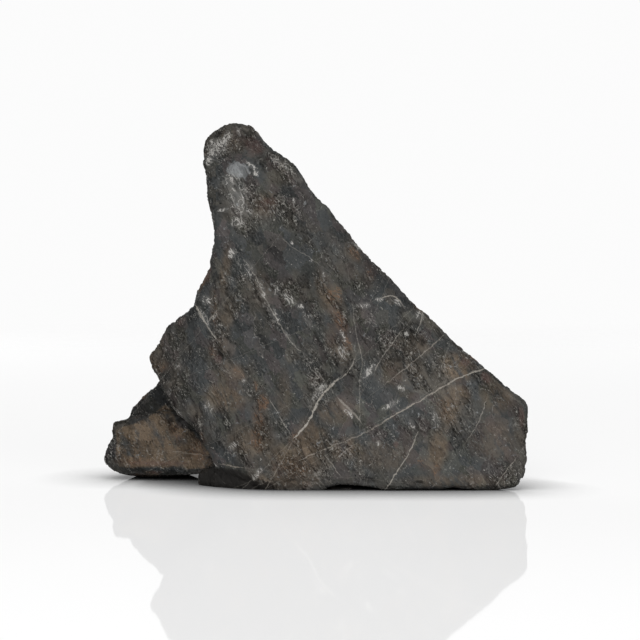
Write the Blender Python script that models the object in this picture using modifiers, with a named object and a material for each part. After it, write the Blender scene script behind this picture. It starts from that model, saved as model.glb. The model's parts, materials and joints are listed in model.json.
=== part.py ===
"""A dark quartz rock for an aquarium, as one stone.

A triangular slab leans back a little and stands on its long lower edge. Behind its left corner a foot
reaches out to the left and to the back, a buttress thickens the back of the slab down to the floor, and
a low sole carries the slab's left end behind its raised lower edge.
+Z is up, -Y is the broad face, and the origin is on the floor under the middle of the stone.
"""

import math

import bmesh
import bpy
import numpy as np
from mathutils import Vector, noise

MM = 0.001

# Driving dimensions, in millimetres
FACE_AT_FLOOR = -34.0  # where the broad face meets the floor
FACE_LEAN = math.radians(8.0)
SLAB_THICKNESS = 60.0  # of the block that the slab is shaped from
LEAST_THICKNESS = 6.0
RIM_BEHIND_FACE = 3.0  # the widest section lies this far behind the face
SIDE_TAPER = 0.27  # how far the sides draw in towards the back, as a share of the width
SIDE_ROUNDING = 0.35
TOP_TAPER = 0.13
MIDDLE_AT_FLOOR = -6.0  # x of the line that the sides draw in towards
MIDDLE_LEAN = -0.22
BASE_CUT = 0.5  # how much is taken off below, so that the stone rests on flat spots

# Relief of the face, as (size, height) in millimetres
FACE_WAVES = (46.0, 1.3)
FACE_STREAKS = (7.0, 0.8)
STREAK_STRETCH = 5.0
GRAIN_ANGLE = math.radians(-60.0)  # the stone's streaks run down to the right
FACE_PLATES = (30.0, 0.7)
PLATES_PER_WAVE = 3.5
CHIP_LENGTH = 15.0
CHIP_WIDTHS = (1.0, 5.2)  # of the chipped rim, from place to place
CHIP_SLOPES = (9.0, 0.8, 0.5)  # size of a slope, its mean and its variation

# Relief of the sides and the back, in the same way
FACETS = (24.0, 5.0)
FACET_SHRINK = 1.0
BEDS = (8.0, 1.0)
BED_DIRECTION = (0.75, 0.35, 0.45)
BED_WAVES = (20.0, 0.35)
GRAIN = (5.0, 0.6)
FACE_GRAIN = 0.25  # height of the same grain on the face
HIDDEN_DEPTHS = (9.0, 20.0)  # how far behind the face the relief of the back starts, and where it is full
SOLE_HEIGHT = 5.0  # below this the underside is kept calm

# Fineness of the skin
ROUGH_VOXEL = 1.2
FINE_VOXEL = 0.95
TRIANGLES = 8800
FACET_FAVOUR = 10.0  # how much sooner a hidden face is merged into a facet than one in front
FACET_LOSS = 0.97
STONE_GREY = (0.072, 0.066, 0.060, 1.0)

# The widest section of the slab as (x, z), from its lower left end up, over the peak and round
SLAB_OUTLINE = [
    (-40.6, 8.4), (-44.0, 12.4), (-46.4, 16.6), (-49.4, 23.0), (-54.6, 28.0), (-59.1, 30.3),
    (-62.0, 35.0), (-65.2, 40.0), (-67.2, 43.4), (-68.4, 46.8), (-70.4, 50.6), (-72.2, 55.8),
    (-68.9, 58.6), (-67.7, 61.6), (-65.6, 64.5), (-65.2, 67.9), (-61.3, 70.5), (-58.4, 73.0),
    (-53.7, 75.6), (-51.6, 78.5), (-50.8, 82.3), (-49.1, 86.2), (-47.0, 90.4), (-45.3, 93.8),
    (-44.9, 98.1), (-43.6, 100.6), (-42.8, 107.0), (-43.2, 112.2), (-44.6, 119.4), (-45.9, 125.4),
    (-45.9, 131.4), (-47.7, 139.2), (-47.7, 146.5), (-46.9, 150.4), (-43.9, 153.4), (-40.0, 155.1),
    (-34.9, 157.0), (-29.3, 155.7), (-25.4, 152.1), (-21.9, 148.2), (-17.2, 143.9), (-10.8, 139.6),
    (-6.5, 136.2), (-4.8, 132.7), (-3.0, 128.4), (0.8, 124.1), (5.5, 119.9), (8.5, 116.0),
    (12.4, 111.3), (15.8, 107.0), (19.2, 102.3), (23.5, 97.7), (28.1, 93.8), (32.8, 89.1),
    (37.5, 83.6), (43.0, 78.1), (48.5, 73.4), (53.2, 69.2), (56.2, 65.4), (61.7, 60.7),
    (67.8, 55.5), (73.4, 50.9), (79.5, 45.5), (84.3, 41.7), (89.2, 37.6), (91.0, 34.4),
    (90.6, 27.9), (89.3, 19.5), (90.1, 13.2), (89.4, 9.0), (87.7, 5.0), (85.4, 1.6),
    (78.2, 0.5), (69.7, -0.1), (64.7, 0.7), (57.9, 1.5), (52.8, 0.3), (42.3, 0.5),
    (30.0, -0.1), (26.6, 0.8), (21.1, 2.1), (12.7, 2.8), (10.6, 3.2), (6.7, 1.5),
    (2.5, 1.5), (-2.1, 3.6), (-7.2, 4.4), (-13.5, 4.0), (-21.2, 3.0), (-27.5, 3.0),
    (-31.7, 4.3), (-36.4, 5.8),
]

# Flat facets of the back as (y at the middle of the base, rise of y with x, rise of y with z)
BACK_FACETS = [(20.0, -0.05, -0.10), (24.0, -0.30, -0.08), (42.0, 0.05, -0.24), (31.0, 0.26, -0.06)]

# Corners of the lumps that are fused to the slab's back, as (x, y, z)
FOOT_NOSE = [
    (-89.6, 9, 18.4), (-92.6, 9, 14.4), (-94.3, 10, 9.2), (-90.8, 9, 5.4), (-87.6, 12, 2.4),
    (-84.0, 9, 6.0), (-84.0, 9, 18.0), (-86.0, 29, 9.0), (-86.0, 24, 16.0),
]
FOOT_TOE = [
    (-79.5, 5, 6.0), (-68.5, 4, 5.0), (-55.0, 4, 4.6), (-45.5, 5, 5.0), (-37.0, 8, 6.0),
    (-87.5, 8, 8.0), (-88.9, 8, 25.3), (-81.9, 9, 25.7), (-73.8, 9, 27.9), (-66.3, 9, 31.4),
    (-57.0, 8, 27.5), (-46.0, 9, 24.0), (-40.0, 9, 15.0), (-88.0, 12, 3.2), (-82.0, 12, 1.9),
    (-73.3, 12, 1.3), (-64.5, 12, 1.4), (-59.0, 12, 2.2), (-52.0, 12, 3.6), (-77.0, 20, 0.0),
    (-62.0, 22, 0.0), (-89.2, 15, 24.8), (-83.0, 16, 25.0), (-78.0, 30, 0.0), (-86.0, 29, 9.0),
    (-82.0, 32, 18.0), (-60.0, 33, 24.0), (-58.0, 34, 0.0),
]
FOOT_HEEL = [
    (-82.3, 15, 20.0), (-82.1, 15, 29.5), (-80.4, 19, 32.2), (-75.6, 19, 36.0), (-72.8, 19, 39.2),
    (-69.8, 18, 43.2), (-60.0, 16, 52.0), (-48.0, 14, 60.0), (-79.0, 33, 9.0), (-76.0, 32, 24.0),
    (-62.0, 29, 40.0), (-44.0, 24, 52.0), (-40.0, 12, 44.0), (-40.0, 30, 4.0), (-50.0, 14, 24.0),
]
BUTTRESS = [
    (-34.0, 12, 72.0), (14.0, 8, 66.0), (-48.0, 22, 42.0), (34.0, 18, 34.0), (-38.0, 31, 24.0),
    (12.0, 33, 20.0), (-46.0, 34, 0.0), (22.0, 34, 0.0), (58.0, 12, 0.0), (54.0, 7, 34.0),
    (-10.0, 27, 44.0), (-44.0, 4, 0.0), (54.0, -6, 0.0), (73.0, 1, 0.0), (71.0, -2, 26.0),
    (60.0, 2, 45.0),
]
SOLE = [  # under the slab's left end, set back behind its lower edge
    (-51.0, -10, 0.0), (-49.0, -14, 0.0), (-40.0, -21, 0.0), (-28.0, -28, 0.0), (-12.0, -31, 0.0),
    (4.0, -31, 0.0), (-46.0, 20, 0.0), (4.0, 10, 0.0), (-50.0, -12, 6.3), (-44.5, -17, 7.8),
    (-39.0, -21, 7.8), (-28.0, -25, 4.5), (-12.0, -27, 5.0), (4.0, -27, 4.5), (-44.0, 15, 10.0),
    (4.0, 5, 8.0),
]
LUMPS = (FOOT_NOSE, FOOT_TOE, FOOT_HEEL, BUTTRESS, SOLE)

# Creases of the broad face as (x, z) to (x, z), and how steeply the face falls back on the left of that way
FACE_CREASES = [
    ((-28.0, 4.0), (-50.0, 84.0), 0.17),
    ((63.0, 62.0), (56.0, 2.0), 0.10),
    ((-38.0, 100.0), (-41.0, 150.0), 0.35),
    ((-48.0, 135.0), (-10.0, 143.0), 0.45),
    ((60.0, 5.0), (-40.0, 8.0), 0.60),
    ((30.0, 0.0), (-20.0, 150.0), 0.05),
    ((-50.0, 24.5), (-65.0, 44.4), 1.10),
    ((59.0, 62.5), (78.5, 38.0), 0.45),
]


def clear_scene():
    for obj in list(bpy.data.objects):
        bpy.data.objects.remove(obj)


def new_collection(name):
    collection = bpy.data.collections.new(name)
    bpy.context.scene.collection.children.link(collection)
    return collection


def evaluated_mesh(obj):
    """The object's mesh with its modifiers, in world space."""
    bpy.context.view_layer.update()
    graph = bpy.context.evaluated_depsgraph_get()
    mesh = bpy.data.meshes.new_from_object(obj.evaluated_get(graph))
    mesh.transform(obj.matrix_world)
    return mesh


def coordinates(mesh):
    """The mesh's points in millimetres, one row each."""
    flat = np.empty(len(mesh.vertices) * 3)
    mesh.vertices.foreach_get("co", flat)
    return flat.reshape(-1, 3) / MM


def set_coordinates(mesh, points):
    mesh.vertices.foreach_set("co", (points * MM).ravel())
    mesh.update()


def remeshed(mesh, voxel):
    """A closed skin of even quads round everything in the mesh."""
    obj = bpy.data.objects.new("remesh", mesh)
    bpy.context.scene.collection.objects.link(obj)
    skin = obj.modifiers.new("skin", "REMESH")
    skin.mode = "VOXEL"
    skin.voxel_size = voxel * MM
    result = evaluated_mesh(obj)
    bpy.data.objects.remove(obj)
    return result


def smoothstep(low, high, value):
    t = np.clip((value - low) / (high - low), 0.0, 1.0)
    return t * t * (3.0 - 2.0 * t)


def noise_at(points, scale, seed, octaves=3):
    """Smooth noise from about -1 to 1, with its features about `scale` millimetres across."""
    shift = Vector((seed * 17.3, seed * 5.1, seed * 9.7))
    return np.array([noise.fractal(Vector(p) / scale + shift, 1.0, 2.0, octaves) for p in points])


def rim_distance(x, z):
    """How far each (x, z) lies from the slab's outline, seen from the front."""
    corners = np.array(SLAB_OUTLINE)
    nearest = np.full(len(x), np.inf)
    for start, end in zip(corners, np.roll(corners, -1, axis=0)):
        along = end - start
        t = ((x - start[0]) * along[0] + (z - start[1]) * along[1]) / (along @ along)
        t = np.clip(t, 0.0, 1.0)
        nearest = np.minimum(nearest, np.hypot(x - start[0] - t * along[0], z - start[1] - t * along[1]))
    return nearest


def face_plane(x, z):
    """y of the broad face without its relief: a leaning plane with creases."""
    y = FACE_AT_FLOOR + z * math.tan(FACE_LEAN)
    for (start_x, start_z), (end_x, end_z), fall in FACE_CREASES:
        way_x, way_z = end_x - start_x, end_z - start_z
        beyond = (way_x * (z - start_z) - way_z * (x - start_x)) / math.hypot(way_x, way_z)
        y = y + fall * np.maximum(beyond, 0.0)
    return y


def face_depth(x, z):
    """y of the broad face with its waves, streaks, thin broken plates and chipped rim."""
    flat = np.column_stack([x, z, np.zeros(len(x))])
    along = x * math.cos(GRAIN_ANGLE) + z * math.sin(GRAIN_ANGLE)
    across = x * -math.sin(GRAIN_ANGLE) + z * math.cos(GRAIN_ANGLE)
    streaks = np.column_stack([along / STREAK_STRETCH, across, np.zeros(len(x))])
    size, height = FACE_WAVES
    y = face_plane(x, z) + height * noise_at(flat, size, 1)
    size, height = FACE_STREAKS
    y = y + height * noise_at(streaks, size, 2)
    size, height = FACE_PLATES
    level = PLATES_PER_WAVE * noise_at(flat, size, 8)
    y = y + height * (np.floor(level) + smoothstep(0.0, 0.25, level % 1.0))
    narrow, wide = CHIP_WIDTHS
    chip_width = narrow + (wide - narrow) * np.clip(noise_at(flat, CHIP_LENGTH, 3), 0.0, 1.0)
    size, slope, variation = CHIP_SLOPES
    chip_slope = slope + variation * noise_at(flat, size, 4)
    return y + chip_slope * np.maximum(chip_width - rim_distance(x, z), 0.0)


def back_depth(x, z):
    """y of the back: the nearest of its flat facets."""
    return np.min([base + with_x * x + with_z * z for base, with_x, with_z in BACK_FACETS], axis=0)


def slab_mesh():
    """The outline cut from a block, then bent so that its two sides follow the face and the back."""
    curve = bpy.data.curves.new("outline", "CURVE")
    curve.dimensions = "2D"
    curve.fill_mode = "BOTH"
    curve.extrude = SLAB_THICKNESS / 2 * MM
    spline = curve.splines.new("POLY")
    spline.points.add(len(SLAB_OUTLINE) - 1)
    for point, (x, z) in zip(spline.points, SLAB_OUTLINE):
        point.co = (x * MM, z * MM, 0.0, 1.0)
    spline.use_cyclic_u = True
    block = bpy.data.objects.new("outline", curve)
    bpy.context.scene.collection.objects.link(block)
    block.rotation_euler.x = math.pi / 2
    mesh = evaluated_mesh(block)
    bpy.data.objects.remove(block)
    weld_faces(mesh)
    mesh = remeshed(mesh, ROUGH_VOXEL)

    points = coordinates(mesh)
    x, y, z = points.T
    share = np.clip(y / SLAB_THICKNESS + 0.5, 0.0, 1.0)
    front = face_depth(x, z)
    depth = front + share * np.maximum(back_depth(x, z) - front, LEAST_THICKNESS)
    behind_rim = np.maximum(depth - front - RIM_BEHIND_FACE, 0.0) / SLAB_THICKNESS
    middle = MIDDLE_AT_FLOOR + MIDDLE_LEAN * z
    points[:, 0] = middle + (x - middle) * (1.0 - SIDE_TAPER * behind_rim / (behind_rim + SIDE_ROUNDING))
    points[:, 2] = z * (1.0 - TOP_TAPER * behind_rim)
    points[:, 1] = depth
    set_coordinates(mesh, points)
    return mesh


def weld_faces(mesh):
    """Joins the caps of a filled curve to its sides, and turns every face outwards."""
    shape = bmesh.new()
    shape.from_mesh(mesh)
    bmesh.ops.remove_doubles(shape, verts=shape.verts, dist=0.00001)
    bmesh.ops.recalc_face_normals(shape, faces=shape.faces)
    shape.to_mesh(mesh)
    shape.free()


def add_lump(shape, corners):
    """The convex lump that spans these corners."""
    points = [shape.verts.new(Vector(corner) * MM) for corner in corners]
    made = bmesh.ops.convex_hull(shape, input=points)
    inside = [v for v in made["geom_interior"] if isinstance(v, bmesh.types.BMVert)]
    bmesh.ops.delete(shape, geom=inside, context="VERTS")


def rough_stone():
    """Slab, foot, buttress and sole under one skin."""
    shape = bmesh.new()
    shape.from_mesh(slab_mesh())
    for corners in LUMPS:
        add_lump(shape, corners)
    mesh = bpy.data.meshes.new("rough")
    shape.to_mesh(mesh)
    shape.free()
    return remeshed(mesh, FINE_VOXEL)


def hidden_share(points, normals):
    """1 on the sides and the back, and 0 on the broad face, the outline and the front of the foot."""
    x, y, z = points.T
    hidden = smoothstep(*HIDDEN_DEPTHS, y - face_plane(x, z)) * smoothstep(-0.75, -0.1, normals[:, 1])
    foot_front = smoothstep(-40.0, -52.0, x) * smoothstep(52.0, 44.0, z) * smoothstep(26.0, 16.0, y)
    return hidden * (1.0 - foot_front)


def sole_share(points, normals):
    """1 on the underside close to the floor."""
    return smoothstep(SOLE_HEIGHT, 1.0, points[:, 2]) * smoothstep(-0.3, -0.8, normals[:, 2])


def vertex_normals(mesh):
    flat = np.empty(len(mesh.vertices) * 3)
    mesh.vertices.foreach_get("normal", flat)
    return flat.reshape(-1, 3)


def strike_facets(mesh):
    """Breaks the sides and the back into large flat facets, with sharp edges between them."""
    points, normals = coordinates(mesh), vertex_normals(mesh)
    free = hidden_share(points, normals)
    size, height = FACETS
    lift = free * (height * noise_at(points, size, 1, octaves=2) - FACET_SHRINK)
    lift *= 1.0 - sole_share(points, normals)
    set_coordinates(mesh, points + normals * lift[:, None])
    obj = bpy.data.objects.new("struck", mesh)
    bpy.context.scene.collection.objects.link(obj)
    group = obj.vertex_groups.new(name="hidden")
    for index, share in enumerate(free):
        group.add([index], float(share), "REPLACE")
    thin = obj.modifiers.new("facets", "DECIMATE")
    thin.vertex_group = group.name
    thin.vertex_group_factor = FACET_FAVOUR
    thin.ratio = 1.0 - FACET_LOSS * float(np.mean(free > 0.5))
    result = evaluated_mesh(obj)
    bpy.data.objects.remove(obj)
    return result


def weather(mesh):
    """Fine ledges and pits, which are deeper on the sides and the back."""
    points, normals = coordinates(mesh), vertex_normals(mesh)
    free = hidden_share(points, normals)
    size, height = BEDS
    wave_size, wave = BED_WAVES
    level = points @ np.array(BED_DIRECTION) / size + wave * noise_at(points, wave_size, 5)
    lift = free * height * (np.abs(level % 1.0 - 0.5) - 0.25)
    size, height = GRAIN
    lift += (FACE_GRAIN + (height - FACE_GRAIN) * free) * noise_at(points, size, 6, octaves=4)
    lift *= 1.0 - sole_share(points, normals)
    set_coordinates(mesh, points + normals * lift[:, None])


def thinned(mesh, triangles):
    """The same skin with fewer triangles: large ones where it is flat, small ones along edges."""
    obj = bpy.data.objects.new("thin", mesh)
    bpy.context.scene.collection.objects.link(obj)
    obj.modifiers.new("faces", "TRIANGULATE")
    thin = obj.modifiers.new("thin", "DECIMATE")
    thin.ratio = triangles / (2.0 * len(mesh.polygons))
    thin.use_collapse_triangulate = True
    result = evaluated_mesh(obj)
    bpy.data.objects.remove(obj)
    return result


def stand_on_floor(mesh):
    """Cuts the underside flat, and moves the stone so that the origin is under its middle."""
    shape = bmesh.new()
    shape.from_mesh(mesh)
    geometry = shape.verts[:] + shape.edges[:] + shape.faces[:]
    level = (0.0, 0.0, BASE_CUT * MM)
    up = (0.0, 0.0, 1.0)
    cut = bmesh.ops.bisect_plane(
        shape, geom=geometry, dist=0.000001, plane_co=level, plane_no=up, clear_inner=True
    )
    rim = [e for e in cut["geom_cut"] if isinstance(e, bmesh.types.BMEdge)]
    bmesh.ops.holes_fill(shape, edges=rim)
    bmesh.ops.triangulate(shape, faces=shape.faces)
    bmesh.ops.recalc_face_normals(shape, faces=shape.faces)
    lowest = Vector([min(v.co[axis] for v in shape.verts) for axis in range(3)])
    highest = Vector([max(v.co[axis] for v in shape.verts) for axis in range(3)])
    middle = (lowest + highest) / 2
    bmesh.ops.translate(shape, verts=shape.verts, vec=(-middle.x, -middle.y, -lowest.z))
    shape.to_mesh(mesh)
    shape.free()


def stone_material():
    material = bpy.data.materials.new("dark_stone")
    material.use_nodes = True
    shader = material.node_tree.nodes["Principled BSDF"]
    shader.inputs["Base Color"].default_value = STONE_GREY
    shader.inputs["Roughness"].default_value = 0.72
    shader.inputs["Metallic"].default_value = 0.0
    return material


def main():
    clear_scene()
    stone = remeshed(strike_facets(rough_stone()), FINE_VOXEL)
    weather(stone)
    stone = thinned(remeshed(stone, FINE_VOXEL), TRIANGLES)
    stand_on_floor(stone)
    stone.materials.clear()
    stone.materials.append(stone_material())
    rock = bpy.data.objects.new("rock", stone)
    new_collection("aquarium_quartz_rock").objects.link(rock)


main()
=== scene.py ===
import json
import math

import bpy
import numpy as np
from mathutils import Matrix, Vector, noise

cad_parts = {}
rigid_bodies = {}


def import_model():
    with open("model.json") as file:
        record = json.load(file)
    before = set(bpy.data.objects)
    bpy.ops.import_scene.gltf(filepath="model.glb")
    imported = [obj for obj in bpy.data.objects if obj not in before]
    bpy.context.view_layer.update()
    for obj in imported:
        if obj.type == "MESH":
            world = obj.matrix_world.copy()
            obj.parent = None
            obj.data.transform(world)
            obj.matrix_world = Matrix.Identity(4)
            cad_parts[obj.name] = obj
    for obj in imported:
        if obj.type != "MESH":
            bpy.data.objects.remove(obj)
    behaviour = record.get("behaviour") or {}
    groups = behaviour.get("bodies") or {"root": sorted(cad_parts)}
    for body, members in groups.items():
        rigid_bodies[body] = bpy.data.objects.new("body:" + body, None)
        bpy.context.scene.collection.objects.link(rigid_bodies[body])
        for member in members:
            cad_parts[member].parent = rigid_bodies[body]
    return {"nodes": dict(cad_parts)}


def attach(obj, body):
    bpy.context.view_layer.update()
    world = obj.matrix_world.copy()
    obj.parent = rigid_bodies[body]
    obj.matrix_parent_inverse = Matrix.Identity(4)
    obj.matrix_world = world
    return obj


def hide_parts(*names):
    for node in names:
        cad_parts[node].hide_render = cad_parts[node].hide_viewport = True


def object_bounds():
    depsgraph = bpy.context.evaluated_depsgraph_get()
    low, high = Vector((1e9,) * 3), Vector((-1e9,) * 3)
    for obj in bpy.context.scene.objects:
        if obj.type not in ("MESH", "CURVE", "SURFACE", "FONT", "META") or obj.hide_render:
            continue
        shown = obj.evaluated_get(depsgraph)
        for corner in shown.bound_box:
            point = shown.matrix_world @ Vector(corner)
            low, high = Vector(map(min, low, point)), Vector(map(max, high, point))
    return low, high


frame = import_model()
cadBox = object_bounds()
mm = 0.001
print("frame loaded:", sorted(frame["nodes"]))


# small helpers

def deselectAll():
    for other in bpy.context.view_layer.objects:
        other.select_set(False)


def pick(piece):
    deselectAll()
    piece.select_set(True)
    bpy.context.view_layer.objects.active = piece


def smoothStep(low, high, value):
    t = np.clip((value - low) / (high - low), 0.0, 1.0)
    return t * t * (3.0 - 2.0 * t)


def noiseAt(points, size, seed, octaves=3):
    # smooth noise from about -1 to 1, its lumps about size mm across
    shift = Vector((seed * 17.3, seed * 5.1, seed * 9.7))
    return np.array([noise.fractal(Vector(p) / size + shift, 1.0, 2.0, octaves) for p in points])


# the camera stands where the photograph was taken from

cameraSettings = {
    "lens": 120.0,                       # mm, on a sensor 36 mm wide
    "place": (3.3, -929.6, 111.3),       # mm
    "lookDown": 2.5,                     # degrees
}


def addCamera():
    data = bpy.data.cameras.new("camera")
    data.lens = cameraSettings["lens"]
    data.sensor_width = 36.0
    data.clip_start = 0.01
    camera = bpy.data.objects.new("camera", data)
    camera.location = Vector(cameraSettings["place"]) * mm
    camera.rotation_euler = (math.radians(90.0 - cameraSettings["lookDown"]), 0.0, 0.0)
    bpy.context.scene.collection.objects.link(camera)
    bpy.context.scene.camera = camera


addCamera()
print("camera placed")


# the stone's skin: a fine mesh over the CAD stone, with the relief that the solid is too coarse for

stoneSettings = {
    "voxel": 0.64,                # mm between points
    "smoothing": 5,               # rounds over the facets of the solid
    "swell": 0.40,                # mm, makes up for what the smoothing and the chips take off the sides
    "triangles": 192000,          # at most, after the hidden side is made coarser
    "grainAngle": -60.0,          # degrees; the streaks run down to the right
    "faceAtFloor": -35.1,         # mm, y of the broad face at the floor
    "faceLean": 8.0,              # degrees
    "patchSize": 14.0,            # mm, of the rough and the smooth patches of the break
    "hollowDepth": 0.9,           # mm, of the small hollows, which the finish darkens as painted shade
    "poreDepth": 0.35,            # mm
    "plateSize": 9.0,             # mm, and so are the sizes, heights and depths below
    "plateHeight": 0.32,
    "platesPerWave": 4.0,         # how many steps the noise under them is cut into
    "facetSize": 5.5,
    "facetHeight": 0.55,
    "streakSize": 2.0,
    "streakHeight": 0.36,
    "knotSize": 2.6,
    "knotHeight": 0.30,           # where the break is rough
    "knotHeightAll": 0.06,
    "knotDepthRim": 0.15,
    "chipSizes": (4.5, 2.2),      # along the rim, large and small
    "chipDepth": 0.9,
    "sunk": 0.10,                 # mm, the whole relief is set back by this
    "clearance": 0.001,           # mm, kept from the sides of the solid's box
}

# places on the broad face as (x, z, half length, half width, turn in degrees, strength), in mm
roughPlaces = [
    (-38, 78, 9, 15, 10, 1.0), (-26, 84, 13, 7, -58, 1.0), (-38, 62, 8, 12, 20, 0.9),
    (-30, 122, 10, 22, 5, 0.9), (-12, 140, 16, 9, -35, 0.9), (10, 78, 6, 20, 25, 1.0),
    (-23, 32, 6, 18, 15, 1.0), (14, 54, 8, 16, 20, 0.9), (-5, 88, 10, 5, -60, 0.8),
    (34, 60, 12, 14, 0, 0.8), (55, 48, 8, 14, 0, 0.8), (-58, 52, 8, 12, 20, 0.7),
    (-40, 24, 8, 12, 30, 0.8), (-6, 12, 12, 9, 0, 0.9), (10, 16, 14, 8, 25, 0.6),
    (24, 100, 14, 5, -50, 0.8), (50, 24, 8, 16, 15, 0.7), (-44, 100, 5, 12, 0, 0.6),
]
smoothPlaces = [
    (-46, 87, 5, 9, -25, 1.0), (-52, 66, 8, 8, 20, 1.0), (-28, 68, 7, 10, 0, 0.8),
    (-33, 42, 9, 9, 0, 0.8), (-6, 30, 8, 8, 0, 0.9), (-12, 44, 12, 9, 30, 0.7), (32, 16, 8, 7, 20, 0.9),
    (43, 36, 9, 7, 20, 0.8), (74, 26, 12, 16, 0, 0.7), (8, 108, 11, 9, -40, 0.8),
    (2, 118, 8, 6, -40, 0.7), (30, 74, 8, 6, 0, 0.7), (-18, 100, 8, 6, 0, 0.6), (66, 12, 12, 7, 0, 0.6),
    (20, 34, 6, 8, 0, 0.6), (-70, 16, 18, 12, 0, 0.7), (-9, 126, 8, 5, -40, 0.9),
    (-42, 126, 3, 8, 0, 0.8), (-31, 136, 6, 4, 0, 0.9),
]
pits = [                           # small hollows, carved and darkened as painted shade
    (10.0, 54.1, 3.2, 1.0, -62, 1.3), (1.6, 65.0, 3.0, 0.8, -60, 1.1), (14.3, 49.9, 1.6, 1.0, -70, 1.0),
    (-27.7, 49.9, 2.0, 1.2, -50, 1.0), (-39.0, 56.5, 2.2, 1.4, -60, 1.1),
    (-37.0, 76.0, 2.0, 1.2, -40, 1.0), (47.0, 62.5, 2.4, 1.6, 70, 0.9), (36.5, 55.0, 1.6, 1.0, 0, 0.9),
    (-19.5, 30.0, 2.2, 1.2, -65, 1.0), (-21.0, 22.0, 2.0, 1.0, -65, 1.0),
    (12.3, 21.2, 1.1, 0.9, 0, 1.0), (-13.0, 140.0, 2.5, 1.3, -40, 0.9),
    (-41.3, 151.6, 3.4, 1.8, 25, 1.0), (24.0, 4.5, 3.0, 1.8, 0, 1.3), (45.0, 3.0, 2.6, 1.6, 0, 1.2),
    (-52.5, 12.6, 4.5, 0.6, -12, 1.0), (-60.5, 22.5, 2.2, 1.3, 60, 1.0),
    (-62.0, 26.5, 1.6, 1.2, 0, 1.0), (-58.0, 27.0, 2.0, 1.0, 30, 0.9),
]

# colour on the broad face, written in the same way
rustPlaces = [
    (9.6, 82, 4.5, 6, 0, 0.9), (11.5, 72, 3.2, 8, 22, 1.0), (15, 62, 2.4, 5, 22, 0.9),
    (-20.9, 36.9, 3.0, 4.2, 0, 1.3), (-22.9, 30, 3.0, 6, 10, 0.9), (-23.5, 21, 3.0, 6, 15, 0.9),
    (18.2, 99.8, 2.2, 4.5, 25, 0.9), (-31, 49, 2.2, 5, 35, 0.8), (-42, 77, 2.4, 11, 5, 0.6),
    (-42.5, 58, 2.0, 3.5, 20, 0.8), (-24, 44, 1.2, 3, 10, 0.8), (52.5, 9, 2.0, 5, 0, 0.9),
    (-8, 22, 2.4, 3.5, -30, 0.9), (-50, 13, 5, 6, 0, 0.9), (-60, 21, 4, 6, 20, 0.7),
    (-9, 9, 10, 7, 0, 0.5), (55, 36, 5, 9, 0, 0.4), (24, 92, 3, 6, 30, 0.4), (-78, 8, 12, 3, 0, 0.6),
    (46, 12, 3, 5, 20, 0.5),
]
brownPlaces = [
    (-8, 13, 16, 9, 0, 0.9), (62, 40, 6, 6, 0, 0.9), (60, 4, 26, 4, 0, 0.6), (-12, 4, 22, 5, 0, 0.7),
    (36, 50, 12, 8, 0, 0.5), (10, 33, 12, 7, 0, 0.6), (-37, 39, 11, 8, 0, 1.0), (-52, 32, 6, 5, 0, 0.7),
    (-1, 21, 9, 11, 0, 1.0), (14, 18, 10, 6, 0, 0.7), (62, 52, 7, 9, 70, 1.2), (58, 34, 8, 5, 85, 0.9),
    (53, 17, 13, 5, 75, 0.9), (79, 40, 9, 9, -40, 0.8), (77, 21, 13, 11, 0, 0.5),
    (-37, 93, 13, 3, 85, 0.7), (-37, 70, 13, 4, 80, 0.5), (5, 84, 11, 4, -75, 0.7),
    (11, 61, 11, 5, -65, 0.6), (-21, 87, 8, 4, -60, 0.5), (-12, 40, 4, 13, 0, 0.5),
    (-26, 21, 13, 8, 0, 0.7), (18, 101, 4, 7, 30, 0.5), (-34, 148, 8, 5, -30, 0.5),
    (-21, 121, 8, 6, 0, 0.5), (29, 15, 15, 8, 0, 0.5), (41, 61, 11, 7, 0, 0.45),
    (-35, 49, 8, 6, 0, 0.6),
]
redPlaces = [
    (-25, 146, 6, 4, -40, 0.8), (-20, 118, 5, 7, 0, 0.3), (-18.5, 121.9, 4.5, 2.4, 0, 0.8),
    (35.3, 19.7, 1.2, 1.6, 0, 1.2), (89.0, 30.6, 1.6, 5, 0, 1.2), (74, 47.5, 3.5, 2.5, -45, 0.9),
    (64.7, 54.1, 2.5, 2.2, 0, 0.9), (-40, 54.8, 2.0, 2.4, 0, 0.7), (-68, 7.6, 16, 1.4, 0, 0.8),
    (42, 40, 2.5, 2, 0, 0.4), (8, 64, 3, 4, 20, 0.35),
]
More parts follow.
